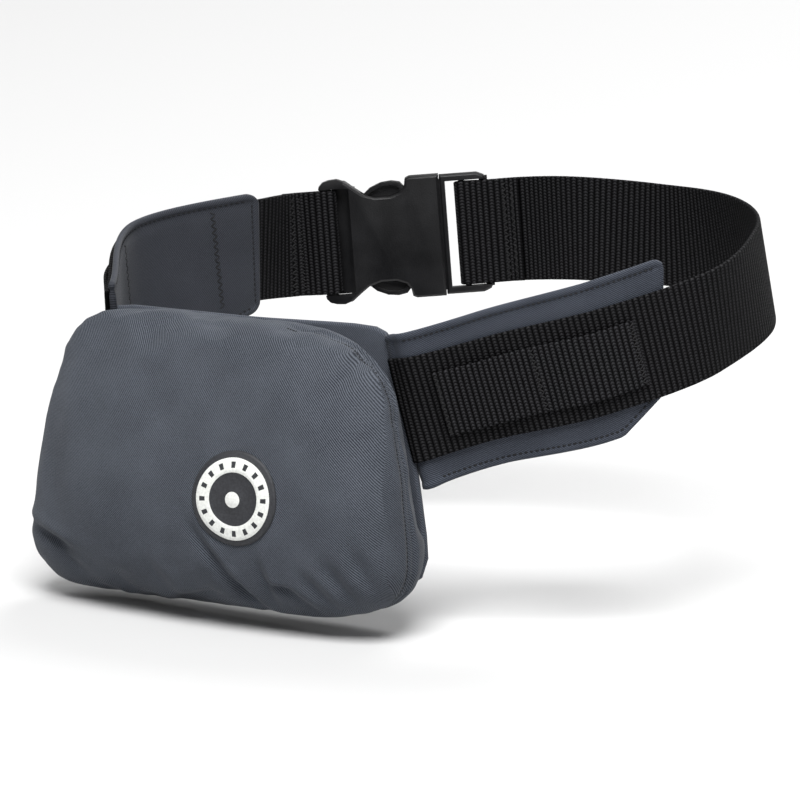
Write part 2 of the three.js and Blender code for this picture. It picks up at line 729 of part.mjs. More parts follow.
male = male.add(toSolid(tongueBox));

// A row for each corner of a prong, from its root to its tip and back. Along is measured from
// the mouth as a share of the female half's length, and half is a share of half releaseSpan.
const prongRows = [
  { along: 0.06, half: 0.48 },
  { along: 0.06, half: 0.66 },
  { along: 0.25, half: 0.72 },
  { along: 0.285, half: 0.88 },
  { along: 0.32, half: 0.97 },
  { along: 0.39, half: 1 },
  { along: 0.48, half: 0.98 },
  { along: 0.57, half: 0.9 },
  { along: 0.63, half: 0.79 },
  { along: 0.62, half: 0.66 },
  { along: 0.55, half: 0.5 },
];

// And of the hollow in both faces of its end
const hollowRows = [
  { along: 0.325, half: 0.86 },
  { along: 0.345, half: 0.9 },
  { along: 0.395, half: 0.93 },
  { along: 0.475, half: 0.915 },
  { along: 0.555, half: 0.84 },
  { along: 0.595, half: 0.77 },
  { along: 0.59, half: 0.69 },
  { along: 0.53, half: 0.6 },
  { along: 0.33, half: 0.6 },
];

function prongOutline(rows, side) {
  return rows.map(({ along, half }) => [mouth - along * femaleLength, (side * half * releaseSpan) / 2]);
}

for (const side of [-1, 1]) {
  male = male.add(plate(prongOutline(prongRows, side), prongThick, 0));
  for (const face of [-1, 1]) {
    const hollow = plate(prongOutline(hollowRows, side), prongThick, 0);
    male = male.subtract(hollow.translate(0, 0, face * (prongThick - hollowDepth)));
  }
}
addPiece('buckle_male', toGeometry(male).applyMatrix4(buckleMatrix), plastic);

export default pack;
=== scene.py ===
import math

import bmesh
import bpy
import numpy as np
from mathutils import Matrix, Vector, noise
from mathutils.bvhtree import BVHTree


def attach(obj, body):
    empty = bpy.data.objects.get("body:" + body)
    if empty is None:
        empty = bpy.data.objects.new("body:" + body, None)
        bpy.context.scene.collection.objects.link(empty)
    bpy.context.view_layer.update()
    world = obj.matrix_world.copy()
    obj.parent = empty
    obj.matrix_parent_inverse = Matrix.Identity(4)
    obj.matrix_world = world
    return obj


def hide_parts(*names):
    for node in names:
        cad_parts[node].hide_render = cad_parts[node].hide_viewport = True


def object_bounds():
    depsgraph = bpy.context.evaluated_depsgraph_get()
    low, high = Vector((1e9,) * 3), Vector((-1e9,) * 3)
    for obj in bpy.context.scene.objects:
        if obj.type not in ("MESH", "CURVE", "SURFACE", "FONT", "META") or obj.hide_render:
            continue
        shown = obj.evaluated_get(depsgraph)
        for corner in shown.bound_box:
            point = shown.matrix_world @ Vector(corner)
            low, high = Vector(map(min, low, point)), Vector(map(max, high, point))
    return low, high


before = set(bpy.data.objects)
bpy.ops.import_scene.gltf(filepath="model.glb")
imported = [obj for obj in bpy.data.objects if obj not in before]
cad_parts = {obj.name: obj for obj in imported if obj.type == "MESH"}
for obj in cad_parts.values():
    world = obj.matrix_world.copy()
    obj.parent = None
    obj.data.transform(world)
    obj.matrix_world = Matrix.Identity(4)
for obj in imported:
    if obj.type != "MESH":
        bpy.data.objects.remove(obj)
cad_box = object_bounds()

# Camera. It looks down a little at the pouch and at the right wing, from ahead and from the
# right, through a long lens, as the photo does. The target is the middle of the picture.
MM = 0.001
view_azimuth = math.radians(30)
view_elevation = math.radians(13)
view_distance = 4.0
view_target = Vector((0.0017, -0.0313, -0.0470))
view_back = Vector((
    math.sin(view_azimuth) * math.cos(view_elevation),
    -math.cos(view_azimuth) * math.cos(view_elevation),
    math.sin(view_elevation),
))
camera_data = bpy.data.cameras.new("camera")
camera_data.lens = 383.4
camera_data.sensor_width = 36
camera_data.clip_end = 100
camera = bpy.data.objects.new("camera", camera_data)
camera.location = view_target + view_back * view_distance
camera.rotation_euler = view_back.to_track_quat("Z", "Y").to_euler()
bpy.context.scene.collection.objects.link(camera)
bpy.context.scene.camera = camera


# Floor and light. A plain pale floor lies just under the pouch. A broad soft lamp stands above
# and ahead, a weak one fills from the right, one behind lights the floor, and the sky is dim.
def add_light(name, place, size, power):
    data = bpy.data.lights.new(name, "AREA")
    data.size = size
    data.energy = power
    light = bpy.data.objects.new(name, data)
    light.location = place
    light.rotation_euler = Vector(place).to_track_quat("Z", "Y").to_euler()
    bpy.context.scene.collection.objects.link(light)


add_light("key", (0.75, -1.5, 3.0), size=2.0, power=215)
add_light("fill", (2.2, -2.4, 0.9), size=1.6, power=6)
add_light("back", (0.0, 2.9, 2.6), size=2.4, power=120)
bpy.context.scene.view_settings.view_transform = "Standard"
world = bpy.data.worlds.new("sky")
world.use_nodes = True
world.node_tree.nodes["Background"].inputs["Color"].default_value = (1, 1, 1, 1)
world.node_tree.nodes["Background"].inputs["Strength"].default_value = 0.2
bpy.context.scene.world = world

floor_reach = 12
floor_gap = 0.002
floor_height = cad_box[0][2] - floor_gap
floor_mesh = bpy.data.meshes.new("floor")
floor_mesh.from_pydata(
    [(x * floor_reach, y * floor_reach, floor_height) for x, y in ((-1, -1), (1, -1), (1, 1), (-1, 1))],
    [], [(0, 1, 2, 3)],
)
floor_paint = bpy.data.materials.new("floor")
floor_paint.use_nodes = True
floor_shader = floor_paint.node_tree.nodes["Principled BSDF"]
floor_shader.inputs["Base Color"].default_value = (0.56, 0.56, 0.56, 1)
floor_shader.inputs["Roughness"].default_value = 0.9
floor_mesh.materials.append(floor_paint)
floor = bpy.data.objects.new("floor", floor_mesh)
bpy.context.scene.collection.objects.link(floor)


# Webbing belt. Black webbing, 50 mm wide, woven with ribs across it. The long strap leaves the
# right wing and goes round the waist to the buckle, the short one leaves the left wing. Each
# turns round a bar of the buckle, comes back beside itself and is sewn down with a zigzag.
layer_gap = 0.3
waist_radius = 156
belt_rise = 50
webbing_width = 50
webbing_thick = 2
long_tail = 29
short_tail = 22
short_strap = 42
parting = 14
pouch_ahead = 92
pouch_aside = 45.5
pouch_width_top = 176
right_outset = 3
left_inset = 13
right_reach = pouch_width_top / 2 + right_outset
left_reach = pouch_width_top / 2 - left_inset
right_lap = 8
female_length = 58.5
male_length = 23.5
bar_thick = 3
male_bar_inset = 12.5
female_bar_inset = 3.6
female_bar_reach = 1.5
buckle_yaw = math.radians(29)
buckle_pitch = math.radians(4.5)
buckle_length = female_length + male_length
stations_right = [
    # turn, out, rise, lean
    (-44, 0.68, -0.48, 8),
    (-24, 0.85, -0.22, 3),
    (-4, 1.01, 0.08, 2),
    (16, 1.03, 0.28, -9),
    (36, 0.97, 0.32, -11),
    (58, 0.87, 0.24, -3),
    (80, 0.70, 0.24, 4),
]
station_buckle = (126, 0.685, 0.06, 6)
stations_left = [
    (165, 0.77, 0.01, -1),
    (190, 0.975, -0.16, 1),
]
root_lap = (-0.72, 4)
root_right = (-0.68, 5)
root_left = (-0.42, 3)


def station_stop(turn, out, rise, lean):
    angle = math.radians(turn)
    reach = out * waist_radius
    return (math.cos(angle) * reach, math.sin(angle) * reach, rise * belt_rise, lean)


def root_stop(reach, rise, lean):
    return (reach - pouch_aside, -pouch_ahead, rise * belt_rise, lean)


def buckle_stop(share):
    middle = station_stop(*station_buckle)
    reach = share * buckle_length / 2
    flat = math.cos(buckle_pitch) * reach
    return (
        middle[0] + flat * math.cos(buckle_yaw),
        middle[1] + flat * math.sin(buckle_yaw),
        middle[2] + math.sin(buckle_pitch) * reach,
        middle[3],
    )


stops = np.array(
    [root_stop(right_reach - right_lap, *root_lap), root_stop(right_reach, *root_right)]
    + [station_stop(*row) for row in stations_right]
    + [buckle_stop(share) for share in (1.3, 1, 0, -1, -1.3)]
    + [station_stop(*row) for row in stations_left]
    + [root_stop(-left_reach, *root_left)]
)
buckle_index = len(stations_right) + 4
per_stop = 60


def route_samples():
    """The belt's run as a smooth curve through its stops: points and leans, evenly in time."""
    points = stops[:, :3]
    padded = np.vstack([2 * points[0] - points[1], points, 2 * points[-1] - points[-2]])
    rows = []
    leans = []
    for index in range(len(points) - 1):
        p0, p1, p2, p3 = padded[index:index + 4]
        d0, d1, d2 = (np.linalg.norm(b - a) ** 0.5 for a, b in ((p0, p1), (p1, p2), (p2, p3)))
        t1 = ((p1 - p0) / d0 - (p2 - p0) / (d0 + d1) + (p2 - p1) / d1) * d1
        t2 = ((p2 - p1) / d1 - (p3 - p1) / (d1 + d2) + (p3 - p2) / d2) * d1
        last = index == len(points) - 2
        for step in range(per_stop + last):
            t = step / per_stop
            cubic = 2 * p1 - 2 * p2 + t1 + t2
            square = -3 * p1 + 3 * p2 - 2 * t1 - t2
            rows.append(p1 + t1 * t + square * t ** 2 + cubic * t ** 3)
            blend = t * t * (3 - 2 * t)
            leans.append(stops[index][3] * (1 - blend) + stops[index + 1][3] * blend)
    return np.array(rows), np.array(leans)


route, route_lean = route_samples()
route_along = np.concatenate([[0], np.cumsum(np.linalg.norm(np.diff(route, axis=0), axis=1))])
route_tangent = np.gradient(route, route_along, axis=0)
route_tangent /= np.linalg.norm(route_tangent, axis=1)[:, None]
route_along -= route_along[per_stop]
route_start = route_along[0]
route_end = route_along[-1]
buckle_along = route_along[per_stop * buckle_index]


def belt_frame(along):
    """The belt's middle, its way on, the way out of the waist and its way up, at a distance."""
    inside = min(max(along, route_start), route_end)
    tangent = np.array([np.interp(inside, route_along, route_tangent[:, k]) for k in range(3)])
    tangent /= np.linalg.norm(tangent)
    point = np.array([np.interp(inside, route_along, route[:, k]) for k in range(3)])
    point = point + tangent * (along - inside)
    lean = math.radians(np.interp(inside, route_along, route_lean))
    out = np.cross(tangent, (0, 0, 1))
    out /= np.linalg.norm(out)
    out = out * math.cos(lean) + np.cross(tangent, out) * math.sin(lean)
    return point, tangent, out, np.cross(out, tangent)


def belt_point(along, out, height):
    point, _, outward, rise = belt_frame(along)
    return point + outward * out + rise * height


def mesh_piece(name, points, faces, uv=None, material=None):
    """A piece of the object from points in millimetres. UV holds a pair for each point."""
    mesh = bpy.data.meshes.new(name)
    mesh.from_pydata([tuple(float(c) * MM for c in point) for point in points], [], faces)
    mesh.validate()
    mesh.shade_smooth()
    if uv is not None:
        layer = mesh.uv_layers.new(name="weave")
        pairs = np.array(uv, dtype=float)[[loop.vertex_index for loop in mesh.loops]] * MM
        layer.data.foreach_set("uv", pairs.ravel())
    if material is not None:
        mesh.materials.append(material)
    piece = bpy.data.objects.new(name, mesh)
    bpy.context.scene.collection.objects.link(piece)
    turn_faces_out(piece)
    return piece


def turn_faces_out(piece):
    shell = bmesh.new()
    shell.from_mesh(piece.data)
    bmesh.ops.recalc_face_normals(shell, faces=shell.faces)
    shell.to_mesh(piece.data)
    shell.free()


def strip(name, path, thick, rows_at, shape, material):
    """A flat strip along the belt. Rows_at gives the heights of its rows at a place, and shape
    gives the share of the thickness that is left at a place and a height."""
    points = []
    uv = []
    run = 0
    for index, (along, out) in enumerate(path):
        before = path[max(index - 1, 0)]
        after = path[min(index + 1, len(path) - 1)]
        way = np.array([after[0] - before[0], after[1] - before[1]])
        way = way / np.linalg.norm(way)
        if index:
            run += math.hypot(along - path[index - 1][0], out - path[index - 1][1])
        heights = rows_at(along)
        for side in (1, -1):
            ordered = heights if side == 1 else heights[::-1]
            for height in ordered:
                half = side * thick / 2 * shape(along, height)
                points.append(belt_point(along - way[1] * half, out + way[0] * half, height))
                uv.append((run, height))
    count = len(rows_at(path[0][0])) * 2
    faces = []
    for ring in range(len(path) - 1):
        for step in range(count):
            a = ring * count + step
            b = ring * count + (step + 1) % count
            faces.append((a, b, b + count, a + count))
    for ring in (0, len(path) - 1):
        for step in range(count // 2 - 1):
            a = ring * count + step
            b = ring * count + count - 1 - step
            faces.append((a, a + 1, b - 1, b))
    return mesh_piece(name, points, faces, uv, material)


def node_group(name, inputs, outputs):
    group = bpy.data.node_groups.new(name, "ShaderNodeTree")
    for label, kind, value in inputs:
        socket = group.interface.new_socket(label, in_out="INPUT", socket_type=kind)
        if value is not None:
            socket.default_value = value
    for label in outputs:
        group.interface.new_socket(label, in_out="OUTPUT", socket_type="NodeSocketFloat")
    return group, group.nodes.new("NodeGroupInput"), group.nodes.new("NodeGroupOutput")


def math_node(tree, operation, *values, clamp=False):
    node = tree.nodes.new("ShaderNodeMath")
    node.operation = operation
    node.use_clamp = clamp
    for socket, value in zip(node.inputs, values):
        if isinstance(value, (int, float)):
            socket.default_value = value
        else:
            tree.links.new(value, socket)
    return node.outputs[0]


def noise_value(tree, place, scale, detail=2.0):
    node = tree.nodes.new("ShaderNodeTexNoise")
    node.inputs["Scale"].default_value = scale
    node.inputs["Detail"].default_value = detail
    tree.links.new(place, node.inputs["Vector"])
    return node.outputs["Fac"]


def swelling(tree, value):
    """Rises from 0 to 1 and falls back once in each whole step of the value."""
    inside = math_node(tree, "MULTIPLY", math_node(tree, "FRACT", value), math.pi)
    return math_node(tree, "SINE", inside)


def rib_group():
    """Ribs across a strap, each a row of thread floats, set off by half a float from the next."""
    group, given, result = node_group(
        "webbing weave",
        [
            ("Rib pitch", "NodeSocketFloat", 0.0028),
            ("Float length", "NodeSocketFloat", 0.0015),
            ("Wobble", "NodeSocketFloat", 0.12),
        ],
        ["Height", "Painted weave shade"],
    )
    place = group.nodes.new("ShaderNodeUVMap")
    place.uv_map = "weave"
    stray = math_node(group, "SUBTRACT", noise_value(group, place.outputs["UV"], 260), 0.5)
    stray = math_node(group, "MULTIPLY", stray, given.outputs["Wobble"])
    split = group.nodes.new("ShaderNodeSeparateXYZ")
    group.links.new(place.outputs["UV"], split.inputs[0])
    across = math_node(group, "DIVIDE", split.outputs["X"], given.outputs["Rib pitch"])
    across = math_node(group, "ADD", across, stray)
    column = math_node(group, "FLOOR", across)
    odd = math_node(group, "FLOORED_MODULO", column, 2.0)
    along = math_node(group, "DIVIDE", split.outputs["Y"], given.outputs["Float length"])
    along = math_node(group, "ADD", along, math_node(group, "MULTIPLY", odd, 0.5))
    along = math_node(group, "ADD", along, stray)
    slope = math_node(group, "SUBTRACT", math_node(group, "FRACT", across), 0.5)
    along = math_node(group, "ADD", along, math_node(group, "ABSOLUTE", slope))
    rib = math_node(group, "POWER", swelling(group, across), 0.6)
    bead = math_node(group, "POWER", swelling(group, along), 0.7)
    bead = math_node(group, "ADD", math_node(group, "MULTIPLY", bead, 0.6), 0.4)
    height = math_node(group, "MULTIPLY", rib, bead)
    group.links.new(height, result.inputs["Height"])
    # Painted light and shade: the floats' tops are made lighter and the gaps between them darker, plus a
    # little random tone from the wobble.
    painted_weave_shade = math_node(group, "MULTIPLY_ADD", math_node(group, "POWER", height, 3.0), 0.8, stray, clamp=True)
    group.links.new(painted_weave_shade, result.inputs["Painted weave shade"])
    return group


webbing_weave = rib_group()


def finish(name, roughness, specular=0.4, sheen=0.0):
    """A new material with its Principled shader, whose constants are set here."""
    material = bpy.data.materials.new(name)
    material.use_nodes = True
    shader = material.node_tree.nodes["Principled BSDF"]
    shader.inputs["Roughness"].default_value = roughness
    shader.inputs["Specular IOR Level"].default_value = specular
    shader.inputs["Sheen Weight"].default_value = sheen
    shader.inputs["Sheen Roughness"].default_value = 0.4
    return material, material.node_tree, shader


def colour_ramp(tree, value, shader, *rows):
    """Colours by a value: two rows of place and colour, into the shader's base colour."""
    ramp = tree.nodes.new("ShaderNodeValToRGB")
    for element, (place, colour) in zip(ramp.color_ramp.elements, rows):
        element.position = place
        element.color = (*colour, 1)
    tree.links.new(value, ramp.inputs["Fac"])
    tree.links.new(ramp.outputs["Color"], shader.inputs["Base Color"])


def bump(tree, height, shader, distance, strength=1.0):
    node = tree.nodes.new("ShaderNodeBump")
    node.inputs["Distance"].default_value = distance
    node.inputs["Strength"].default_value = strength
    tree.links.new(height, node.inputs["Height"])
    tree.links.new(node.outputs["Normal"], shader.inputs["Normal"])


def webbing_material(name, rib_pitch, float_length, dark, light, depth):
    material, tree, shader = finish(name, 0.75, specular=0.06)
    weave = tree.nodes.new("ShaderNodeGroup")
    weave.node_tree = webbing_weave
    weave.inputs["Rib pitch"].default_value = rib_pitch
    weave.inputs["Float length"].default_value = float_length
    # Base colour runs from dark in the weave's gaps to light on its tops: painted shade and painted
    # highlight.
    colour_ramp(tree, weave.outputs["Painted weave shade"], shader, (0.0, dark), (0.85, light))
    bump(tree, weave.outputs["Height"], shader, depth)
    return material


# Dark and light ends of the belt's colour: painted shade in the weave's gaps and painted light on its
# tops.
belt_webbing = webbing_material(
    "belt webbing", 0.0028, 0.0015, (0.0008, 0.0008, 0.001), (0.027, 0.027, 0.029), 0.0007,
)


path_step = 2.0
parting_steps = 8
loop_steps = 12


def straight_path(start, end, step, out):
    count = max(2, round(abs(end - start) / step) + 1)
    return [(along, out) for along in np.linspace(start, end, count)]


def ease(share):
    share = min(max(share, 0), 1)
    return share * share * (3 - 2 * share)


def strap_path(start, bar_along, reach, way, side, tail):
    """The same way round a bar as the belt's solids take: in, round and back beside itself."""
    near = bar_along - way * reach
    loop_radius = bar_thick / 2 + layer_gap + webbing_thick / 2
    layer = webbing_thick + layer_gap
    path = straight_path(start, near - way * parting, path_step, 0)
    for share in np.linspace(0, 1, parting_steps + 1)[1:-1]:
        path.append((near - way * parting * (1 - share), side * loop_radius * ease(share)))
    for angle in np.linspace(0, math.pi, loop_steps + 1):
        beyond = reach + loop_radius * math.sin(angle)
        path.append((bar_along + way * beyond, side * loop_radius * math.cos(angle)))
    for share in np.linspace(0, 1, parting_steps + 1)[1:]:
        out = loop_radius + (layer - loop_radius) * ease(share)
        path.append((near - way * parting * share, -side * out))
    end = bar_along - way * tail
    path.extend(straight_path(near - way * parting, end, path_step, -side * layer)[1:])
    return path


def webbing_rows(width, middle=0.0):
    """Heights of the rows across a strap, closer together near its edges."""
    near_edge = [0, 0.25, 0.6, 1.1]
    inner_gap = 1.8
    inner_count = 15
    half = width / 2
    inner = list(np.linspace(-half + inner_gap, half - inner_gap, inner_count))
    heights = [-half + gap for gap in near_edge] + inner + [half - gap for gap in near_edge[::-1]]
    return [middle + height for height in heights]


def webbing_shape(width, middle=0.0):
    """A strap's share of thickness: whole inside, and rounded in a rim along its edges."""
    rim = 0.9
    edge = 0.25

    def share(along, height):
        inside = width / 2 - abs(height - middle)
        if inside >= rim:
            return 1.0
        return edge + (1 - edge) * math.sqrt(1 - (1 - max(inside, 0) / rim) ** 2)

    return share


male_bar_along = buckle_along - (buckle_length / 2 - male_bar_inset)
female_bar_along = buckle_along - (-buckle_length / 2 + female_bar_inset)
left_wing_start = buckle_along + buckle_length / 2 + short_strap
belt_rows = webbing_rows(webbing_width)
belt_shape = webbing_shape(webbing_width)
short_root_gap = 2
long_path = strap_path(route_start, male_bar_along, 0, 1, 1, long_tail)
short_path = strap_path(
    route_end - short_root_gap, female_bar_along, female_bar_reach, -1, -1, short_tail,
)
belt_long = strip(
    "belt_long_webbing", long_path, webbing_thick, lambda along: belt_rows, belt_shape, belt_webbing,
)
belt_short = strip(
    "belt_short_webbing", short_path, webbing_thick, lambda along: belt_rows, belt_shape, belt_webbing,
)
for strap, node in ((belt_long, "belt_long"), (belt_short, "belt_short")):
    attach(strap, "root")
    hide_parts(node)


# Wings. Two layers of slate cloth over thin foam, turned in at the edges and topstitched round
# them. The right one carries the belt on its outer side, its free end leans back and its bottom
# corner is cut away. The left one shows its waist side, with rounded corners.
wing_thick = 3
right_wing_length = 129
right_wing_high = 39
right_root_high = 36
right_wing_low = 38.5
right_wing_slant = 15
right_wing_cut = 24
left_wing_high = 29.5
left_wing_low = 34
wing_corner = 6
wing_out = -webbing_thick / 2 - layer_gap - wing_thick / 2
wing_root_gap = 1
edge_stitch = 3.4
stitch_groove = 0.42
twill_pitch = 0.0012
twill_relief = 0.0002


def twill_group():
    """Twill from a flat place on the cloth in metres. Its raised lines fall to the right, are rough with
    single threads, and change a little in tone at random from place to place.
    Its tone is also lighter on the raised lines and darker between them, which is painted light and shade."""
    group, given, result = node_group(
        "twill",
        [("Place", "NodeSocketVector", None), ("Pitch", "NodeSocketFloat", twill_pitch)],
        ["Height", "Tone with painted shade"],
    )
    split = group.nodes.new("ShaderNodeSeparateXYZ")
    group.links.new(given.outputs["Place"], split.inputs[0])
    across = math_node(group, "DIVIDE", split.outputs["X"], given.outputs["Pitch"])
    up = math_node(group, "DIVIDE", split.outputs["Y"], given.outputs["Pitch"])
    rough = math_node(group, "SUBTRACT", noise_value(group, given.outputs["Place"], 1500), 0.5)
    slow = math_node(group, "SUBTRACT", noise_value(group, given.outputs["Place"], 38, 5), 0.5)
    diagonal = math_node(group, "ADD", across, up)
    diagonal = math_node(group, "MULTIPLY_ADD", rough, 0.35, diagonal)
    line = math_node(group, "SINE", math_node(group, "MULTIPLY", diagonal, 2 * math.pi))
    height = math_node(group, "MULTIPLY_ADD", line, 0.36, 0.5)
    height = math_node(group, "MULTIPLY_ADD", rough, 0.5, height)
    group.links.new(height, result.inputs["Height"])
    # Painted shade: the tone follows the relief, lighter on the raised lines and darker between them; the
    # slow noise adds random tone.
    tone_with_painted_shade = math_node(group, "MULTIPLY_ADD", slow, 0.4, height)
    group.links.new(tone_with_painted_shade, result.inputs["Tone with painted shade"])
    return group


twill = twill_group()


def cloth_material(name, dark, light, flat):
    """Slate twill. Flat cloth reads its own UV map, a stuffed form reads its place in space."""
    material, tree, shader = finish(name, 0.75, specular=0.15, sheen=0.08)
    weave = tree.nodes.new("ShaderNodeGroup")
    weave.node_tree = twill
    weave.inputs["Pitch"].default_value = twill_pitch
    if flat:
        place = tree.nodes.new("ShaderNodeUVMap")
        place.uv_map = "weave"
        tree.links.new(place.outputs["UV"], weave.inputs["Place"])
    else:
        tree.links.new(unrolled_place(tree), weave.inputs["Place"])
    # Base colour from the twill: random tone of the cloth, with painted shade between the raised lines and
    # painted light on them.
    colour_ramp(tree, weave.outputs["Tone with painted shade"], shader, (0.1, dark), (0.9, light))
    bump(tree, weave.outputs["Height"], shader, twill_relief)
    return material


def unrolled_place(tree):
    """Place on the cloth, as width and height on the front, and as depth where it turns away."""
    where = tree.nodes.new("ShaderNodeTexCoord")
    facing = tree.nodes.new("ShaderNodeNewGeometry")
    spot = tree.nodes.new("ShaderNodeSeparateXYZ")
    turn = tree.nodes.new("ShaderNodeSeparateXYZ")
    tree.links.new(where.outputs["Object"], spot.inputs[0])
    tree.links.new(facing.outputs["Normal"], turn.inputs[0])
    join = tree.nodes.new("ShaderNodeCombineXYZ")
    turned_away = 0.75
    for axis, target in (("X", "X"), ("Z", "Y")):
        steep = math_node(tree, "ABSOLUTE", turn.outputs[axis])
        away = math_node(tree, "GREATER_THAN", steep, turned_away)
        ahead = math_node(tree, "SUBTRACT", 1.0, away)
        flat = math_node(tree, "MULTIPLY", spot.outputs[axis], ahead)
        tree.links.new(math_node(tree, "MULTIPLY_ADD", spot.outputs["Y"], away, flat), join.inputs[target])
    return join.outputs[0]


# Cloth colours run from dark, the painted shade between the twill's raised lines, to light on them, with
# random tone of the cloth.
wing_cloth = cloth_material("wing cloth", (0.015, 0.018, 0.025), (0.062, 0.070, 0.090), True)
# The left wing's cloth is darker than the right wing's, partly as a darker lining fabric and partly as
# painted shade on the side turned from the light.
shaded_lining_cloth = cloth_material("wing lining with painted shade", (0.016, 0.018, 0.023), (0.050, 0.054, 0.066), True)


def corner_drop(from_end):
    inset = max(0, wing_corner - from_end)
    return wing_corner - math.sqrt(max(0, wing_corner ** 2 - inset ** 2))


def right_wing_edges(along):
    from_end = right_wing_length - along
    share = along / right_wing_length
    high = right_root_high + (right_wing_high - right_root_high) * share - corner_drop(from_end)
    middle = -webbing_width / 2
    slant = min(max(from_end / right_wing_slant, 0), 1)
    cut = min(max((from_end - right_wing_slant) / right_wing_cut, 0), 1)
    low = right_wing_high + (middle - right_wing_high) * slant + (-right_wing_low - middle) * cut
    return low, max(high, low + 1)


def left_wing_edges(along):
    from_end = along - left_wing_start
    flare = ease(from_end / right_wing_cut)
    low = -(left_wing_high + (left_wing_low - left_wing_high) * flare)
    return low + corner_drop(from_end), left_wing_high - corner_drop(from_end)


def wing_rows(edges):
    """Heights of the rows across a wing, close enough near its edges for the stitches' groove."""
    near_edge = [0, 0.3, 0.8, 1.4, 1.9, 2.4, 2.9, 3.5]
    inner_count = 18

    def rows_at(along):
        low, high = edges(along)
        room = (high - low) / 2
        near = [min(gap, room * (0.1 + 0.1 * k)) for k, gap in enumerate(near_edge)]
        near[0] = 0
        inner = list(np.linspace(low + near[-1], high - near[-1], inner_count))[1:-1]
        return [low + gap for gap in near] + inner + [high - gap for gap in near[::-1]]

    return rows_at


def wing_shape(edges, free_end):
    """A wing's share of thickness: rounded at its edges, with a groove under the stitches."""
    rim = 1.5
    edge = 0.3
    groove_width = 0.6

    def share(along, height):
        low, high = edges(along)
        inside = max(0, min(height - low, high - height, abs(along - free_end) + 0.2))
        full = 1.0 if inside >= rim else edge + (1 - edge) * math.sqrt(1 - (1 - inside / rim) ** 2)
        return full - stitch_groove * math.exp(-((inside - edge_stitch) / groove_width) ** 2)

    return share


right_fine = right_wing_length - right_wing_slant - 3
right_wing_path = straight_path(route_start, right_fine, 2.5, wing_out)
right_wing_path += straight_path(right_fine, right_wing_length - 1.5, 0.7, wing_out)[1:]
left_fine = left_wing_start + wing_corner + 2
left_wing_path = straight_path(left_wing_start + 0.1, left_fine, 0.5, wing_out)
left_wing_path += straight_path(left_fine, route_end - wing_root_gap, 2.5, wing_out)[1:]
wing_right = strip(
    "wing_right_padded", right_wing_path, wing_thick, wing_rows(right_wing_edges),
    wing_shape(right_wing_edges, right_wing_length), wing_cloth,
)
wing_left = strip(
    "wing_left_padded", left_wing_path, wing_thick, wing_rows(left_wing_edges),
    wing_shape(left_wing_edges, left_wing_start), shaded_lining_cloth,
)
for wing, node in ((wing_right, "wing_right"), (wing_left, "wing_left")):
    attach(wing, "root")
    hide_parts(node)


# Gear strips. Narrow black webbing with coarse ribs, tacked on the belt at both ends and in the
# middle, so that two flat loops stand a little off it.
strip_width = 32
strip_thick = 1.6
strip_lift = 1.5
strip_loop = 48
strip_steps = 60
strip_drop = 0.5
right_strip_start = 11
left_strip_start = 22
# Dark and light ends of the gear strips' colour: painted shade in the weave's gaps and painted light on
# its tops.
gear_webbing = webbing_material(
    "gear webbing", 0.0027, 0.0016, (0.001, 0.001, 0.0012), (0.036, 0.036, 0.039), 0.0009,
)


def strip_out(share):
    flat = webbing_thick / 2 + layer_gap + strip_thick / 2
    return flat + strip_lift * math.sin(share * math.pi) ** 2


def gear_strip(name, start):
    shares = np.linspace(0, 2, strip_steps + 1)
    path = [(start + share * strip_loop, strip_out(share)) for share in shares]
    rows = webbing_rows(strip_width, -strip_drop)
    shape = webbing_shape(strip_width, -strip_drop)
    return strip(name, path, strip_thick, lambda along: rows, shape, gear_webbing)


gear_right = gear_strip("gear_strip_right_webbing", right_strip_start)
gear_left = gear_strip("gear_strip_left_webbing", left_wing_start + left_strip_start)
for piece, node in ((gear_right, "gear_strip_right"), (gear_left, "gear_strip_left")):
    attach(piece, "root")
    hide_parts(node)


# Pouch cover. Slate twill, cut and sewn as a box with soft corners and pulled tight over a
# folded filling, so it bulges in front. Its open back edge is hemmed, and lifts over the belt.
pouch_top = 4
pouch_height = 140
pouch_width_bottom = 216
pouch_depth = 54
pouch_roll = math.radians(2)
cover_wall = 1.6
corner_bottom = 4.5
corner_top_left = 6.5
corner_top_right = 3.6
mouth_lift = 7
top_depth = 0.53
full_depth_at = 0.6
left_turn = 7.0  # how far the left side of the front falls back
left_spread = 3.5  # how far it stands out to the left, and twice that at the bottom
panel_front = -pouch_ahead + webbing_thick / 2 + layer_gap
pouch_middle = np.array([-pouch_aside, pouch_top - pouch_height / 2])
cover_sections = np.array([
    # deep, wide
    (0, 0.93),
    (0.08, 0.965),
    (0.2, 0.99),
    (0.35, 1),
    (0.52, 0.99),
    (0.68, 0.96),
    (0.8, 0.9),
    (0.875, 0.81),
    (0.93, 0.68),
    (0.972, 0.5),
    (0.994, 0.26),
    (1, 0),
])


def smooth(value, low, high):
    share = np.clip((value - low) / (high - low), 0, 1)
    return share * share * (3 - 2 * share)


def outline_radius(angle):
    flare = (pouch_width_bottom - pouch_width_top) / 2
    normal = np.array([pouch_height, flare])
    normal = normal / np.linalg.norm(normal)
    side_reach = normal @ np.array([pouch_width_top / 2, pouch_height / 2])
    rolled = angle - pouch_roll
    x = np.abs(np.cos(rolled))
    z = np.sin(rolled)
    top = corner_top_left + (corner_top_right - corner_top_left) * smooth(np.cos(rolled), -0.3, 0.3)
    power = corner_bottom + (top - corner_bottom) * smooth(z, -1, 1)
    side = np.maximum(0, normal[0] * x + normal[1] * z) / side_reach
    end = np.abs(z) / (pouch_height / 2)
    return (side ** power + end ** power) ** (-1 / power)


def depth_share(z):
    fall = (pouch_top - z) / pouch_height
    return top_depth + (1 - top_depth) * smooth(fall, -0.1, full_depth_at)


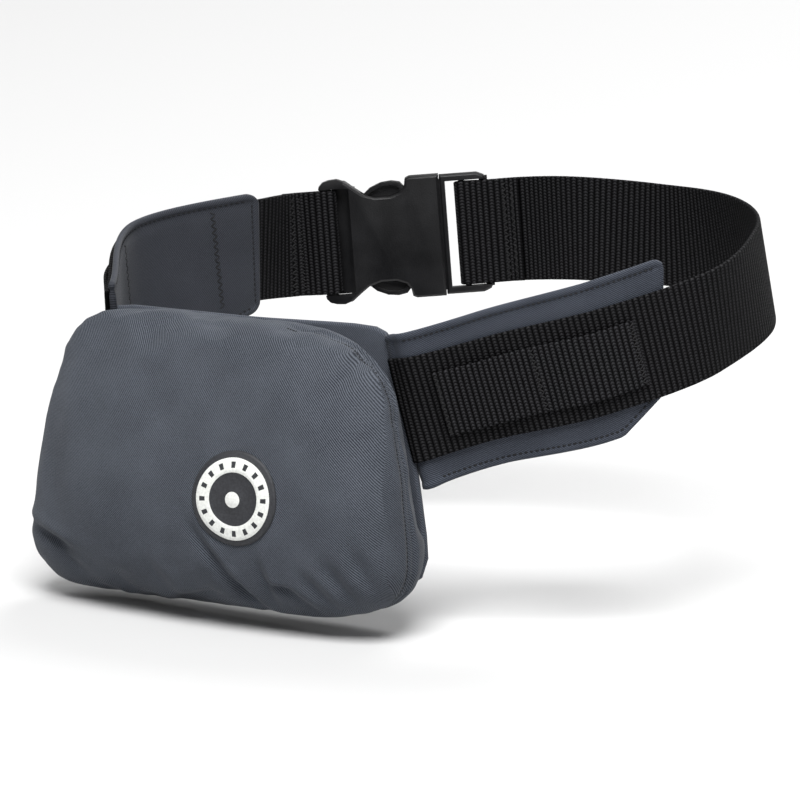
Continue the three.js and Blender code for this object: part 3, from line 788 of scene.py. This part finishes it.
def cover_spot(angle, deep, wide, inset):
    left = float(smooth(-math.cos(angle), 0.2, 0.9))
    radius = (outline_radius(angle) - inset) * wide
    x = radius * math.cos(angle) + pouch_middle[0]
    z = radius * math.sin(angle) + pouch_middle[1]
    depth = (pouch_depth * depth_share(z) - inset) * deep
    below = float(smooth(-math.sin(angle), 0, 0.5))
    x -= left_spread * left * (1 + below) * float(smooth(deep, 0.2, 0.6))
    depth -= left_turn * left * float(smooth(wide, 0.3, 0.95)) * float(smooth(deep, 0.4, 0.8))
    return x, panel_front - layer_gap - depth, z


def closed_cover(inset):
    """The cover as a closed form, from its flat back to the middle of its front."""
    steps = 128
    per_section = 4
    spread = np.linspace(0, len(cover_sections) - 1, (len(cover_sections) - 1) * per_section + 1)
    deep = np.interp(spread, range(len(cover_sections)), cover_sections[:, 0])
    wide = np.interp(spread, range(len(cover_sections)), cover_sections[:, 1])
    points = [(pouch_middle[0], panel_front - layer_gap, pouch_middle[1])]
    for row in range(len(spread) - 1):
        for step in range(steps):
            points.append(cover_spot(step / steps * 2 * math.pi, deep[row], wide[row], inset))
    points.append(cover_spot(0, 1, 0, inset))
    faces = []
    rings = len(spread) - 1
    for ring in range(rings - 1):
        for step in range(steps):
            a = 1 + ring * steps + step
            b = 1 + ring * steps + (step + 1) % steps
            faces.append((a, b, b + steps, a + steps))
    for step in range(steps):
        after = (step + 1) % steps
        faces.append((0, 1 + after, 1 + step))
        last = 1 + (rings - 1) * steps
        faces.append((last + step, last + after, len(points) - 1))
    return points, faces


def puffed(piece, voxel, pressure, cap, frames, hold_behind):
    """Remeshes a closed form and lets its cloth swell. No point moves further than the cap."""
    remesh = piece.modifiers.new("remesh", "REMESH")
    remesh.mode = "VOXEL"
    remesh.voxel_size = voxel
    smoothing = piece.modifiers.new("smoothing", "SMOOTH")
    smoothing.factor = 0.5
    smoothing.iterations = 4
    apply_modifiers(piece)
    start = np.array([vertex.co[:] for vertex in piece.data.vertices])
    held = piece.vertex_groups.new(name="held")
    held.add([int(i) for i in np.nonzero(start[:, 1] > hold_behind)[0]], 1.0, "REPLACE")
    cloth = piece.modifiers.new("cloth", "CLOTH")
    settings = cloth.settings
    settings.quality = 6
    settings.mass = 0.25
    settings.tension_stiffness = 20
    settings.compression_stiffness = 20
    settings.shear_stiffness = 8
    settings.bending_stiffness = 0.6
    settings.use_pressure = True
    settings.uniform_pressure_force = pressure
    settings.shrink_min = -0.015
    settings.vertex_group_mass = "held"
    settings.effector_weights.gravity = 0
    cloth.point_cache.frame_start = 1
    cloth.point_cache.frame_end = frames
    for step in range(1, frames + 1):
        bpy.context.scene.frame_set(step)
    apply_modifiers(piece)
    bpy.context.scene.frame_set(1)
    moved = np.array([vertex.co[:] for vertex in piece.data.vertices]) - start
    reach = np.linalg.norm(moved, axis=1, keepdims=True)
    kept = start + moved * np.minimum(1, cap / np.maximum(reach, 1e-9))
    piece.data.vertices.foreach_set("co", kept.ravel())


def apply_modifiers(piece):
    graph = bpy.context.evaluated_depsgraph_get()
    mesh = bpy.data.meshes.new_from_object(piece.evaluated_get(graph))
    old = piece.data
    piece.modifiers.clear()
    piece.data = mesh
    bpy.data.meshes.remove(old)


def subdivided(piece, levels):
    modifier = piece.modifiers.new("subdivision", "SUBSURF")
    modifier.levels = levels
    modifier.render_levels = levels
    apply_modifiers(piece)


# The cover's colours run from dark, the painted shade between the twill's raised lines, to light on them,
# with random tone of the cloth.
cover_cloth = cloth_material("cover cloth", (0.009, 0.011, 0.016), (0.093, 0.104, 0.125), False)
cover_folds = [
    # across, down, turn, run, width, sink: creases and dents, in millimetres and degrees
    (10, 106, -52, 15, 2.8, 2.8),
    (24, 124, -48, 11, 3.0, 3.4),
    (37, 116, -78, 10, 3.0, 2.4),
    (45, 119.5, -15, 5, 2.0, 2.8),
    (-84, 113, -14, 16, 3.4, 4.0),
    (-74, 122, -30, 10, 4, 2.2),
    (-20, 124, -62, 10, 4, 1.2),
    (53, 124, -42, 8, 3.0, 2.0),
    (64, 119, -50, 11, 3.4, 2.2),
    (75, 114, -58, 12, 3.8, 2.2),
    (86, 106, -66, 12, 4.2, 2.0),
    (78, 6, 35, 12, 4, 2.6),
    (70, 18, 55, 14, 4, 1.6),
    (-70, 14, -20, 26, 8, 0.9),
    (10, 22, 4, 70, 7, 0.6),
    (-86, 60, -82, 34, 8, 0.9),
    (80, 62, 84, 34, 8, 0.9),
]


def fold_sink(x, z):
    sink = 0
    for across, down, turn, run, width, depth in cover_folds:
        angle = math.radians(turn)
        dx = x - pouch_middle[0] - across
        dz = z - (pouch_top - down)
        along = (dx * math.cos(angle) + dz * math.sin(angle)) / run
        aside = (-dx * math.sin(angle) + dz * math.cos(angle)) / width
        lip = 0.35 * math.exp(-(along ** 2 + (aside - 1.7) ** 2))
        sink += depth * (math.exp(-(along ** 2 + aside ** 2)) - lip)
    return sink


right_grooves = [
    # share of the pouch's depth, width in the same share, sink: the hem's seam and the free edge
    (0.46, 0.03, 1.3),
    (0.37, 0.035, 2.2),
]
hem_deep = right_grooves[0][0]
soft_swells = [
    # size, rise
    (26, 0.9),
    (11, 0.25),
]
band_low = 0.72
band_soft = 12


def belt_band(z):
    """Where the belt passes behind the cover, by height."""
    below_top = smooth(pouch_top + band_soft / 2 - z, 0, band_soft)
    return below_top * smooth(z - (pouch_top - pouch_height * band_low), 0, band_soft)


def edge_lift(deep, side, z):
    """How far the cover's open edge is lifted over the belt. Side is 1 at the cover's ends."""
    near_edge = 1 - float(smooth(deep, 0, 0.45))
    return mouth_lift * near_edge * float(smooth(side, 0.6, 0.85)) * float(belt_band(z))


def dress_cover(piece):
    """Lifts the cover's open edge over the belt and presses the creases in."""
    points = np.array([vertex.co[:] for vertex in piece.data.vertices]) / MM
    normals = np.array([vertex.normal[:] for vertex in piece.data.vertices])
    for index, (x, y, z) in enumerate(points):
        deep = (panel_front - y) / (pouch_depth * float(depth_share(z)))
        side = abs(math.cos(math.atan2(z - pouch_middle[1], x - pouch_middle[0])))
        sink = fold_sink(x, z) * float(smooth(deep, 0.25, 0.6))
        at_right = float(smooth(x - pouch_middle[0], 20, 50))
        for groove_deep, width, depth in right_grooves:
            sink += depth * at_right * math.exp(-((deep - groove_deep) / width) ** 2)
        swell = sum(noise.noise(Vector((x, y, z)) / size) * rise for size, rise in soft_swells)
        points[index] += normals[index] * (swell * float(smooth(deep, 0.05, 0.4)) - sink)
        points[index][1] -= edge_lift(deep, side, z)
    piece.data.vertices.foreach_set("co", (points * MM).ravel())
    piece.data.update()


swell_room = 2.0
held_depth = 4
back_cut = 0.6
cover = mesh_piece("pouch_cover_cloth", *closed_cover(swell_room), material=cover_cloth)
puffed(
    cover, voxel=4.5 * MM, pressure=4.0, cap=6 * MM, frames=18,
    hold_behind=(panel_front - held_depth) * MM,
)
open_back = bmesh.new()
open_back.from_mesh(cover.data)
bmesh.ops.bisect_plane(
    open_back, geom=open_back.verts[:] + open_back.edges[:] + open_back.faces[:],
    plane_co=(0, (panel_front - layer_gap - back_cut) * MM, 0), plane_no=(0, 1, 0), clear_outer=True,
)
open_back.to_mesh(cover.data)
open_back.free()
subdivided(cover, 2)
dress_cover(cover)
wall = cover.modifiers.new("wall", "SOLIDIFY")
wall.thickness = cover_wall * MM
wall.offset = -1
apply_modifiers(cover)
cover.data.shade_smooth()
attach(cover, "root")
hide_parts("pouch_cover")


# Back panel. The pouch's flat back, slate cloth over thin foam with a turned edge. The belt and
# the right wing are sewn to it, and only its right edge shows past the cover.
# The panel's colours run from dark, the painted shade between the twill's raised lines, to light on them,
# with random tone of the cloth.
panel_cloth = cloth_material("panel cloth", (0.018, 0.021, 0.028), (0.088, 0.098, 0.120), False)


def rounded_solid(name, node, material, width, segments, least_angle):
    """The CAD's solid of a node with its flat faces joined and its edges rounded."""
    piece = bpy.data.objects.new(name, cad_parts[node].data.copy())
    bpy.context.scene.collection.objects.link(piece)
    shell = bmesh.new()
    shell.from_mesh(piece.data)
    bmesh.ops.remove_doubles(shell, verts=shell.verts, dist=1e-5)
    bmesh.ops.dissolve_limit(
        shell, angle_limit=math.radians(1), verts=shell.verts, edges=shell.edges,
    )
    shell.to_mesh(piece.data)
    shell.free()
    piece.data.materials.clear()
    piece.data.materials.append(material)
    rounding = piece.modifiers.new("rounding", "BEVEL")
    rounding.width = width * MM
    rounding.segments = segments
    rounding.limit_method = "ANGLE"
    rounding.angle_limit = math.radians(least_angle)
    apply_modifiers(piece)
    piece.data.shade_smooth()
    return piece


panel = rounded_solid(
    "back_panel_padded", "back_panel", panel_cloth, width=1.7, segments=4, least_angle=50,
)
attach(panel, "root")
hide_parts("back_panel")


# Buckle. A side-release buckle of black moulded plastic with a fine matt grain, its tone and gloss
# changing at random from place to place. Its halves are fastened, the prongs' ends stand out at the sides.
def moulded_plastic():
    material, tree, shader = finish("moulded plastic", 0.38, specular=0.3)
    place = tree.nodes.new("ShaderNodeTexCoord").outputs["Object"]
    grain = noise_value(tree, place, 1500)
    smear = noise_value(tree, place, 55, 6)
    dark = (0.004, 0.004, 0.0045)
    light = (0.010, 0.010, 0.011)
    colour_ramp(tree, smear, shader, (0.35, dark), (0.7, light))
    roughness = math_node(tree, "MULTIPLY_ADD", smear, 0.22, 0.27)
    tree.links.new(roughness, shader.inputs["Roughness"])
    bump(tree, grain, shader, 0.00012, 0.6)
    return material


buckle_plastic = moulded_plastic()
for node in ("buckle_female", "buckle_male"):
    half = rounded_solid(
        node + "_moulded", node, buckle_plastic, width=0.8, segments=3, least_angle=28,
    )
    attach(half, "root")
    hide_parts(node)


# Badge. A round moulded patch: a dark rim, a raised off-white ring with plain short marks, and a
# dark middle with a plain off-white disc. It lies on the cover's front.
badge_radius = 22
badge_aside = 24
badge_drop = 78
badge_profile = [
    # radius share, height, band
    (0, 1.3, "disc"),
    (0.17, 1.3, "disc"),
    (0.19, 1.1, "middle"),
    (0.565, 1.1, "middle"),
    (0.585, 1.5, "ring"),
    (0.66, 1.55, "ring"),
    (0.79, 1.55, "marks"),
    (0.87, 1.5, "ring"),
    (0.89, 1.1, "rim"),
    (0.95, 1.15, "rim"),
    (0.985, 0.9, "rim"),
    (1, 0.3, "rim"),
    (1, -0.8, "rim"),
]
mark_every = 6


def badge_material(name, dark, light):
    material, tree, shader = finish(name, 0.6, specular=0.35)
    grain = noise_value(tree, tree.nodes.new("ShaderNodeTexCoord").outputs["Object"], 900)
    colour_ramp(tree, grain, shader, (0.3, dark), (0.7, light))
    bump(tree, grain, shader, 0.0001, 0.7)
    return material


badge_light = badge_material("badge light", (0.58, 0.59, 0.57), (0.72, 0.73, 0.70))
badge_dark = badge_material("badge dark", (0.018, 0.019, 0.022), (0.032, 0.033, 0.038))
cover_surface = BVHTree.FromObject(cover, bpy.context.evaluated_depsgraph_get())
badge_middle = Vector((pouch_middle[0] + badge_aside, 0, pouch_top - badge_drop)) * MM
sides = 96
badge_points = []
badge_faces = []
badge_bands = []
for row, (share, height, band) in enumerate(badge_profile):
    for step in range(sides):
        angle = step / sides * 2 * math.pi
        reach = max(share, 0.001) * badge_radius * MM
        x = badge_middle.x + reach * math.cos(angle)
        z = badge_middle.z + reach * math.sin(angle)
        spot = cover_surface.ray_cast(Vector((x, -0.5, z)), Vector((0, 1, 0)))[0]
        badge_points.append((x / MM, spot.y / MM - height, z / MM))
    if row:
        for step in range(sides):
            a = (row - 1) * sides + step
            b = (row - 1) * sides + (step + 1) % sides
            badge_faces.append((a, b, b + sides, a + sides))
            bare = step % mark_every > 1
            light = {"disc": True, "ring": True, "marks": bare}.get(band, False)
            badge_bands.append(0 if light else 1)
badge_faces.append(tuple(range(sides)))
badge_bands.append(1)
badge_faces.append(tuple(range(len(badge_points) - sides, len(badge_points))))
badge_bands.append(1)
badge = mesh_piece("badge_moulded", badge_points, badge_faces)
badge.data.materials.append(badge_light)
badge.data.materials.append(badge_dark)
badge.data.polygons.foreach_set("material_index", badge_bands)
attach(badge, "root")
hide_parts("badge")


# Stitches. Dark thread in straight rows round the wings and along the cover's hem, and zigzags
# across the ends of the straps, the gear strips and the left wing.
def thread_material(name, colour):
    material, tree, shader = finish(name, 0.75)
    twist = noise_value(tree, tree.nodes.new("ShaderNodeTexCoord").outputs["Object"], 2500)
    light = tuple(channel * 1.8 for channel in colour)
    colour_ramp(tree, twist, shader, (0.3, colour), (0.7, light))
    return material


def stitch_tree():
    """Puts one round stitch on each edge of a mesh, along that edge."""
    tree = bpy.data.node_groups.new("stitches", "GeometryNodeTree")
    tree.interface.new_socket("Rows", in_out="INPUT", socket_type="NodeSocketGeometry")
    tree.interface.new_socket("Thread", in_out="INPUT", socket_type="NodeSocketFloat")
    tree.interface.new_socket("Fill", in_out="INPUT", socket_type="NodeSocketFloat")
    tree.interface.new_socket("Material", in_out="INPUT", socket_type="NodeSocketMaterial")
    tree.interface.new_socket("Stitches", in_out="OUTPUT", socket_type="NodeSocketGeometry")
    nodes = tree.nodes
    given = nodes.new("NodeGroupInput")
    result = nodes.new("NodeGroupOutput")
    ends = nodes.new("GeometryNodeInputMeshEdgeVertices")
    way = nodes.new("ShaderNodeVectorMath")
    way.operation = "SUBTRACT"
    tree.links.new(ends.outputs["Position 2"], way.inputs[0])
    tree.links.new(ends.outputs["Position 1"], way.inputs[1])
    kept = nodes.new("GeometryNodeCaptureAttribute")
    kept.domain = "EDGE"
    kept.capture_items.new("VECTOR", "Way")
    tree.links.new(given.outputs["Rows"], kept.inputs["Geometry"])
    tree.links.new(way.outputs[0], kept.inputs["Way"])
    middles = nodes.new("GeometryNodeMeshToPoints")
    middles.mode = "EDGES"
    tree.links.new(kept.outputs["Geometry"], middles.inputs["Mesh"])
    aim = nodes.new("FunctionNodeAlignRotationToVector")
    aim.axis = "X"
    tree.links.new(kept.outputs["Way"], aim.inputs["Vector"])
    length = nodes.new("ShaderNodeVectorMath")
    length.operation = "LENGTH"
    tree.links.new(kept.outputs["Way"], length.inputs[0])
    run = math_node(tree, "MULTIPLY", length.outputs["Value"], given.outputs["Fill"])
    size = nodes.new("ShaderNodeCombineXYZ")
    tree.links.new(run, size.inputs["X"])
    tree.links.new(given.outputs["Thread"], size.inputs["Y"])
    tree.links.new(given.outputs["Thread"], size.inputs["Z"])
    bead = nodes.new("GeometryNodeMeshUVSphere")
    bead.inputs["Segments"].default_value = 8
    bead.inputs["Rings"].default_value = 6
    bead.inputs["Radius"].default_value = 0.5
    place = nodes.new("GeometryNodeInstanceOnPoints")
    tree.links.new(middles.outputs["Points"], place.inputs["Points"])
    tree.links.new(bead.outputs["Mesh"], place.inputs["Instance"])
    tree.links.new(aim.outputs["Rotation"], place.inputs["Rotation"])
    tree.links.new(size.outputs[0], place.inputs["Scale"])
    real = nodes.new("GeometryNodeRealizeInstances")
    tree.links.new(place.outputs["Instances"], real.inputs["Geometry"])
    dress = nodes.new("GeometryNodeSetMaterial")
    tree.links.new(real.outputs["Geometry"], dress.inputs["Geometry"])
    tree.links.new(given.outputs["Material"], dress.inputs["Material"])
    tree.links.new(dress.outputs["Geometry"], result.inputs["Stitches"])
    return tree


stitches = stitch_tree()


def sew(name, rows, thread, fill, material):
    """One piece of stitches from rows of points in millimetres, a stitch from each to the next."""
    points = []
    edges = []
    for row in rows:
        first = len(points)
        points += [tuple(float(c) * MM for c in point) for point in row]
        edges += [(first + k, first + k + 1) for k in range(len(row) - 1)]
    mesh = bpy.data.meshes.new(name)
    mesh.from_pydata(points, edges, [])
    piece = bpy.data.objects.new(name, mesh)
    bpy.context.scene.collection.objects.link(piece)
    modifier = piece.modifiers.new("stitches", "NODES")
    modifier.node_group = stitches
    values = {"Thread": thread * MM, "Fill": fill, "Material": material}
    for item in stitches.interface.items_tree:
        if item.in_out == "INPUT" and item.name in values:
            modifier[item.identifier] = values[item.name]
    apply_modifiers(piece)
    piece.data.shade_smooth()
    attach(piece, "root")
    return piece


cloth_thread = thread_material("cloth thread", (0.003, 0.0035, 0.005))
black_thread = thread_material("black thread", (0.003, 0.003, 0.0035))


thread_thick = 0.95
thread_fill = 0.7
stitch_length = 2.6
first_stitch = 2
slant_gap = 14
root_gap = 8
corner_gap = 5
tack_thick = 0.6
strap_tacks = (4, 9)
strap_tack_high = 23
strip_tack_in = 1.5
strip_tack_high = 15
lining_tacks = (22, 80)
lining_tack_high = 24
hem_first_turn = -50
hem_last_turn = 66
hem_points = 104


def belt_row(start, end, height_at, out):
    count = max(2, round(abs(end - start) / stitch_length) + 1)
    return [belt_point(along, out, height_at(along)) for along in np.linspace(start, end, count)]


def zigzag(along, low, high, out, reach, pitch):
    """Stitches up the belt's width, to both sides by the reach. At 0 the row is straight."""
    count = max(2, round((high - low) / pitch) + 1)
    heights = np.linspace(low, high, count)
    return [belt_point(along + reach * (-1) ** k, out, height) for k, height in enumerate(heights)]


wing_rows_of_thread = []
wing_face = wing_thick / 2 * 0.7
left_first = left_wing_start + wing_corner
left_last = route_end - root_gap
for side in (1, -1):
    face_out = wing_out + side * wing_face
    for edges, first, high_last, low_last in (
        (
            right_wing_edges, first_stitch,
            right_wing_length - wing_corner, right_wing_length - slant_gap,
        ),
        (left_wing_edges, left_first, left_last, left_last),
    ):
        wing_rows_of_thread.append(
            belt_row(first, high_last, lambda a: edges(a)[1] - edge_stitch, face_out),
        )
        wing_rows_of_thread.append(
            belt_row(first, low_last, lambda a: edges(a)[0] + edge_stitch, face_out),
        )
    row_high = left_wing_high - corner_gap
    wing_rows_of_thread.append(
        zigzag(left_wing_start + edge_stitch, -row_high, row_high, face_out, 0, stitch_length),
    )
sew("wing_stitches", wing_rows_of_thread, thread_thick, thread_fill, cloth_thread)

tacks = []
webbing_face = webbing_thick / 2
second_face = webbing_thick + layer_gap + webbing_face
for end, way, outs in (
    (male_bar_along - long_tail, 1, (-second_face, webbing_face)),
    (female_bar_along + short_tail, -1, (second_face, -webbing_face)),
):
    for inset in strap_tacks:
        for out in outs:
            along = end + way * inset
            tacks.append(zigzag(along, -strap_tack_high, strap_tack_high, out, 1.4, 1.6))
for start in (right_strip_start, left_wing_start + left_strip_start):
    for place in (strip_tack_in, strip_loop, 2 * strip_loop - strip_tack_in):
        out = strip_out(place / strip_loop) + strip_thick / 2
        low = -strip_tack_high - strip_drop
        tacks.append(zigzag(start + place, low, strip_tack_high - strip_drop, out, 1.1, 1.5))
lining_face = wing_out - wing_thick / 2
for inset in lining_tacks:
    along = left_wing_start + inset
    tacks.append(zigzag(along, -lining_tack_high, lining_tack_high, lining_face, 1.4, 1.7))
sew("webbing_tacks", tacks, tack_thick, 1.0, black_thread)

hem = []
for turn in np.linspace(hem_first_turn, hem_last_turn, hem_points):
    angle = math.radians(turn)
    x, y, z = cover_spot(angle, hem_deep, 1.0, 0)
    away = Vector((x - pouch_middle[0], 0, z - pouch_middle[1])).normalized()
    start = Vector((x, y, z)) * MM + away * 0.02
    spot = cover_surface.ray_cast(start, -away)[0]
    hem.append(tuple(spot / MM))
sew("hem_stitches", [hem], thread_thick, thread_fill, cloth_thread)
